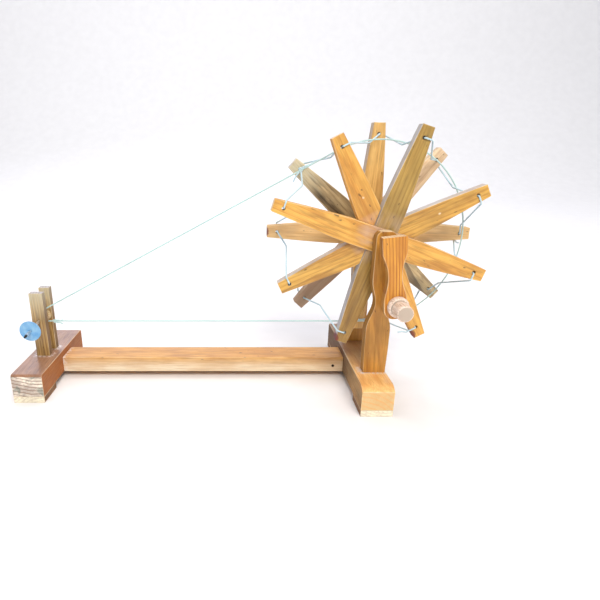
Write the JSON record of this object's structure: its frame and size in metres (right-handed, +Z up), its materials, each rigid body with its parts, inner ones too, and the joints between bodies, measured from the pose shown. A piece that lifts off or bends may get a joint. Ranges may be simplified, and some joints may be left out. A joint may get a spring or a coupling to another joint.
{
  "type": "table-top spinning wheel",
  "caption": "Small upright spinning wheel of the charkha kind: a cord-laced wheel of crossed wooden blades, turned by a crank, drives a thin spindle by a band.",
  "frame": {"origin": "middle of the outline's box at rest, on the surface that the pads stand on", "axes": "+X along the rail from the spindle foot to the wheel foot, +Y from the crank side to the back, +Z up"},
  "size_m": [0.34, 0.155, 0.1914],
  "materials": {
    "foot_wood": "varnished softwood, honey orange",
    "pad_wood": "varnished softwood",
    "rail_wood": "varnished softwood",
    "nail_steel": "dull wire nail",
    "post_wood": "varnished softwood",
    "upright_wood": "varnished softwood",
    "axle_wood": "plain turned wood",
    "washer_leather": "plain leather",
    "front_blade_wood": "varnished softwood",
    "rear_blade_wood": "varnished softwood",
    "cotton_cord": "twisted cotton thread",
    "crank_wood": "varnished softwood, straight grain",
    "grip_wood": "unvarnished turned wood",
    "spindle_steel": "drawn wire",
    "disc_plastic": "flat thin sheet"
  },
  "bodies": {
    "frame": {"left_foot": "foot_wood", "right_foot": "foot_wood", "left_front_pad": "pad_wood", "left_rear_pad": "pad_wood", "right_front_pad": "pad_wood", "right_rear_pad": "pad_wood", "rail": "rail_wood", "rail_nails": "nail_steel", "front_post": "post_wood", "rear_post": "post_wood", "front_upright": "upright_wood", "rear_upright": "upright_wood", "drive_band": "cotton_cord", "drive_band_knot": "cotton_cord"},
    "wheel": {"axle": "axle_wood", "hub": "axle_wood", "front_washer": "washer_leather", "rear_washer": "washer_leather", "front_blade_1": "front_blade_wood", "front_blade_2": "front_blade_wood", "front_blade_3": "front_blade_wood", "front_blade_4": "front_blade_wood", "rear_blade_1": "rear_blade_wood", "rear_blade_2": "rear_blade_wood", "rear_blade_3": "rear_blade_wood", "rear_blade_4": "rear_blade_wood", "rim_cord": "cotton_cord", "rim_cord_knot": "cotton_cord", "crank_arm": "crank_wood", "crank_grip": "grip_wood"},
    "spindle": {"spindle": "spindle_steel", "whorl": "grip_wood", "spindle_disc": "disc_plastic"}
  },
  "joints": [
    {"name": "wheel_spin", "type": "hinge", "parent": "frame", "child": "wheel", "pos_m": [0.09313, 0, 0.1145], "axis": [0, 1, 0], "continuous": true},
    {"name": "spindle_spin", "type": "hinge", "parent": "frame", "child": "spindle", "pos_m": [-0.15867, 0.0027, 0.0514], "axis": [0, 0.9962, 0.0872], "continuous": true}
  ],
  "couplings": [
    {"joint": "spindle_spin", "follows": "wheel_spin", "ratio": 15.759}
  ]
}
